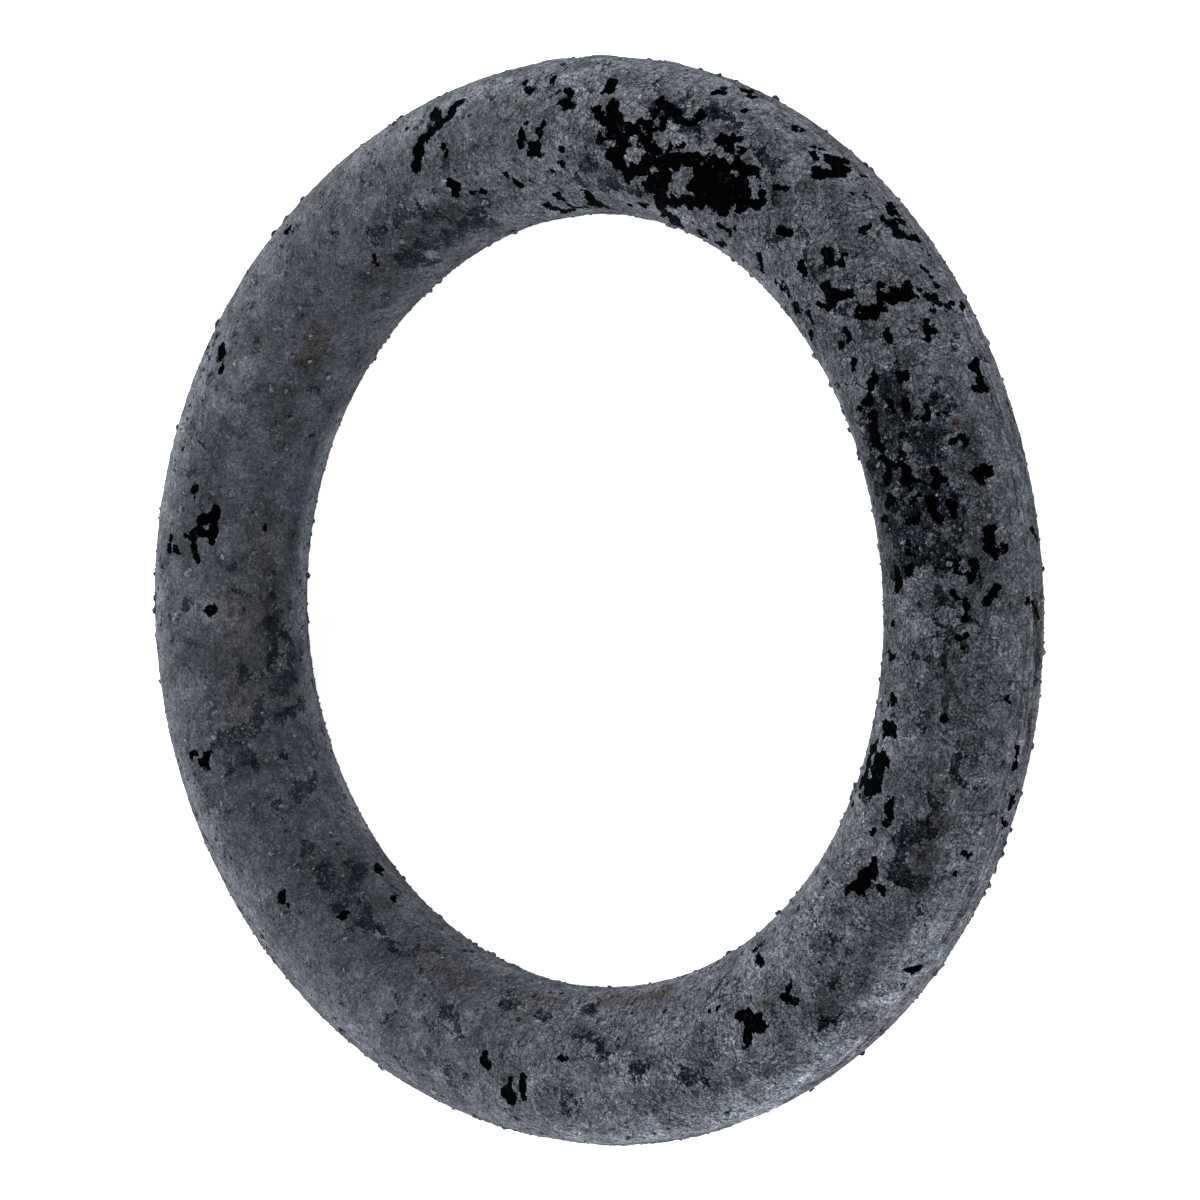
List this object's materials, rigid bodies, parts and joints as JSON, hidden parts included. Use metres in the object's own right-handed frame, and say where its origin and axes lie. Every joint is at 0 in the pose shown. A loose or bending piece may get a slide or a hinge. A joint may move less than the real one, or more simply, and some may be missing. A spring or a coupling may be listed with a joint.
{
  "type": "o-ring",
  "caption": "Round-section rubber sealing ring with a fine moulded parting rib, aged and covered in a flaking powdery grey bloom.",
  "frame": {"origin": "on the ring's axis, in the plane of its lowest circle, where it lies on a flat surface", "axes": "+Z along the ring's axis; the ring is round about +Z, so +X and +Y are any two square directions in its plane"},
  "size_m": [0.0282, 0.0282, 0.004],
  "materials": {
    "bloomed_rubber": "black nitrile rubber under a thin, crusty, matt grey bloom that has flaked off in ragged black patches"
  },
  "bodies": {
    "root": {"o_ring": "bloomed_rubber"}
  },
  "joints": []
}
